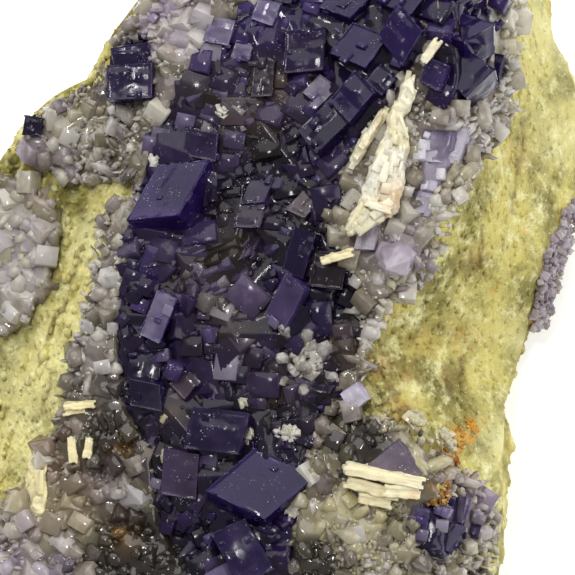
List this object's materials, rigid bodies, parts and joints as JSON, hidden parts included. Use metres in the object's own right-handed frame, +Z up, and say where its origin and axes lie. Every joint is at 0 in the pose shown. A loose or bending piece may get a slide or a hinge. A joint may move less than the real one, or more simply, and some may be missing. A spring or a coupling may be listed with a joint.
{
  "type": "fluorite specimen with quartz and barite",
  "caption": "Mineral hand specimen: a band of purple fluorite cubes with whitish quartz and cream barite blades on yellow host rock.",
  "frame": {"origin": "a point on the flat underside the specimen rests on, under the middle of the pictured field", "axes": "+Z up out of the underside; the crystal face looks up and leans towards -Y; +X is to the right of a viewer in front (at -Y)"},
  "size_m": [0.0724, 0.078, 0.0434],
  "materials": {
    "host_rock": "rough, granular",
    "fluorite": "glassy crystal faces, deep violet",
    "pale_fluorite": "glassy crystal faces, lilac",
    "quartz": "milky, glassy",
    "barite": "dull, layered"
  },
  "bodies": {
    "root": {"matrix_rock": "host_rock", "barite_wall": "barite", "barite_fin": "barite", "barite_column": "barite", "barite_tip": "barite", "barite_bar_upper": "barite", "barite_bar_lower": "barite", "barite_stack": "barite", "barite_pair_left": "barite", "barite_blade_left": "barite", "barite_blade_inner": "barite", "fluorite_crest": "fluorite", "fluorite_main": "fluorite", "fluorite_upper_left": "fluorite", "fluorite_rim": "pale_fluorite", "fluorite_pocket": "fluorite", "fluorite_clear_prism": "pale_fluorite", "fluorite_lilac_fragment": "pale_fluorite", "fluorite_mauve_fragment": "pale_fluorite", "quartz_rim_crystal": "quartz", "quartz_left_grain": "quartz", "quartz_low_grain": "quartz", "quartz_middle_cluster": "quartz", "quartz_crust": "quartz", "quartz_crust_left": "quartz"}
  },
  "joints": []
}
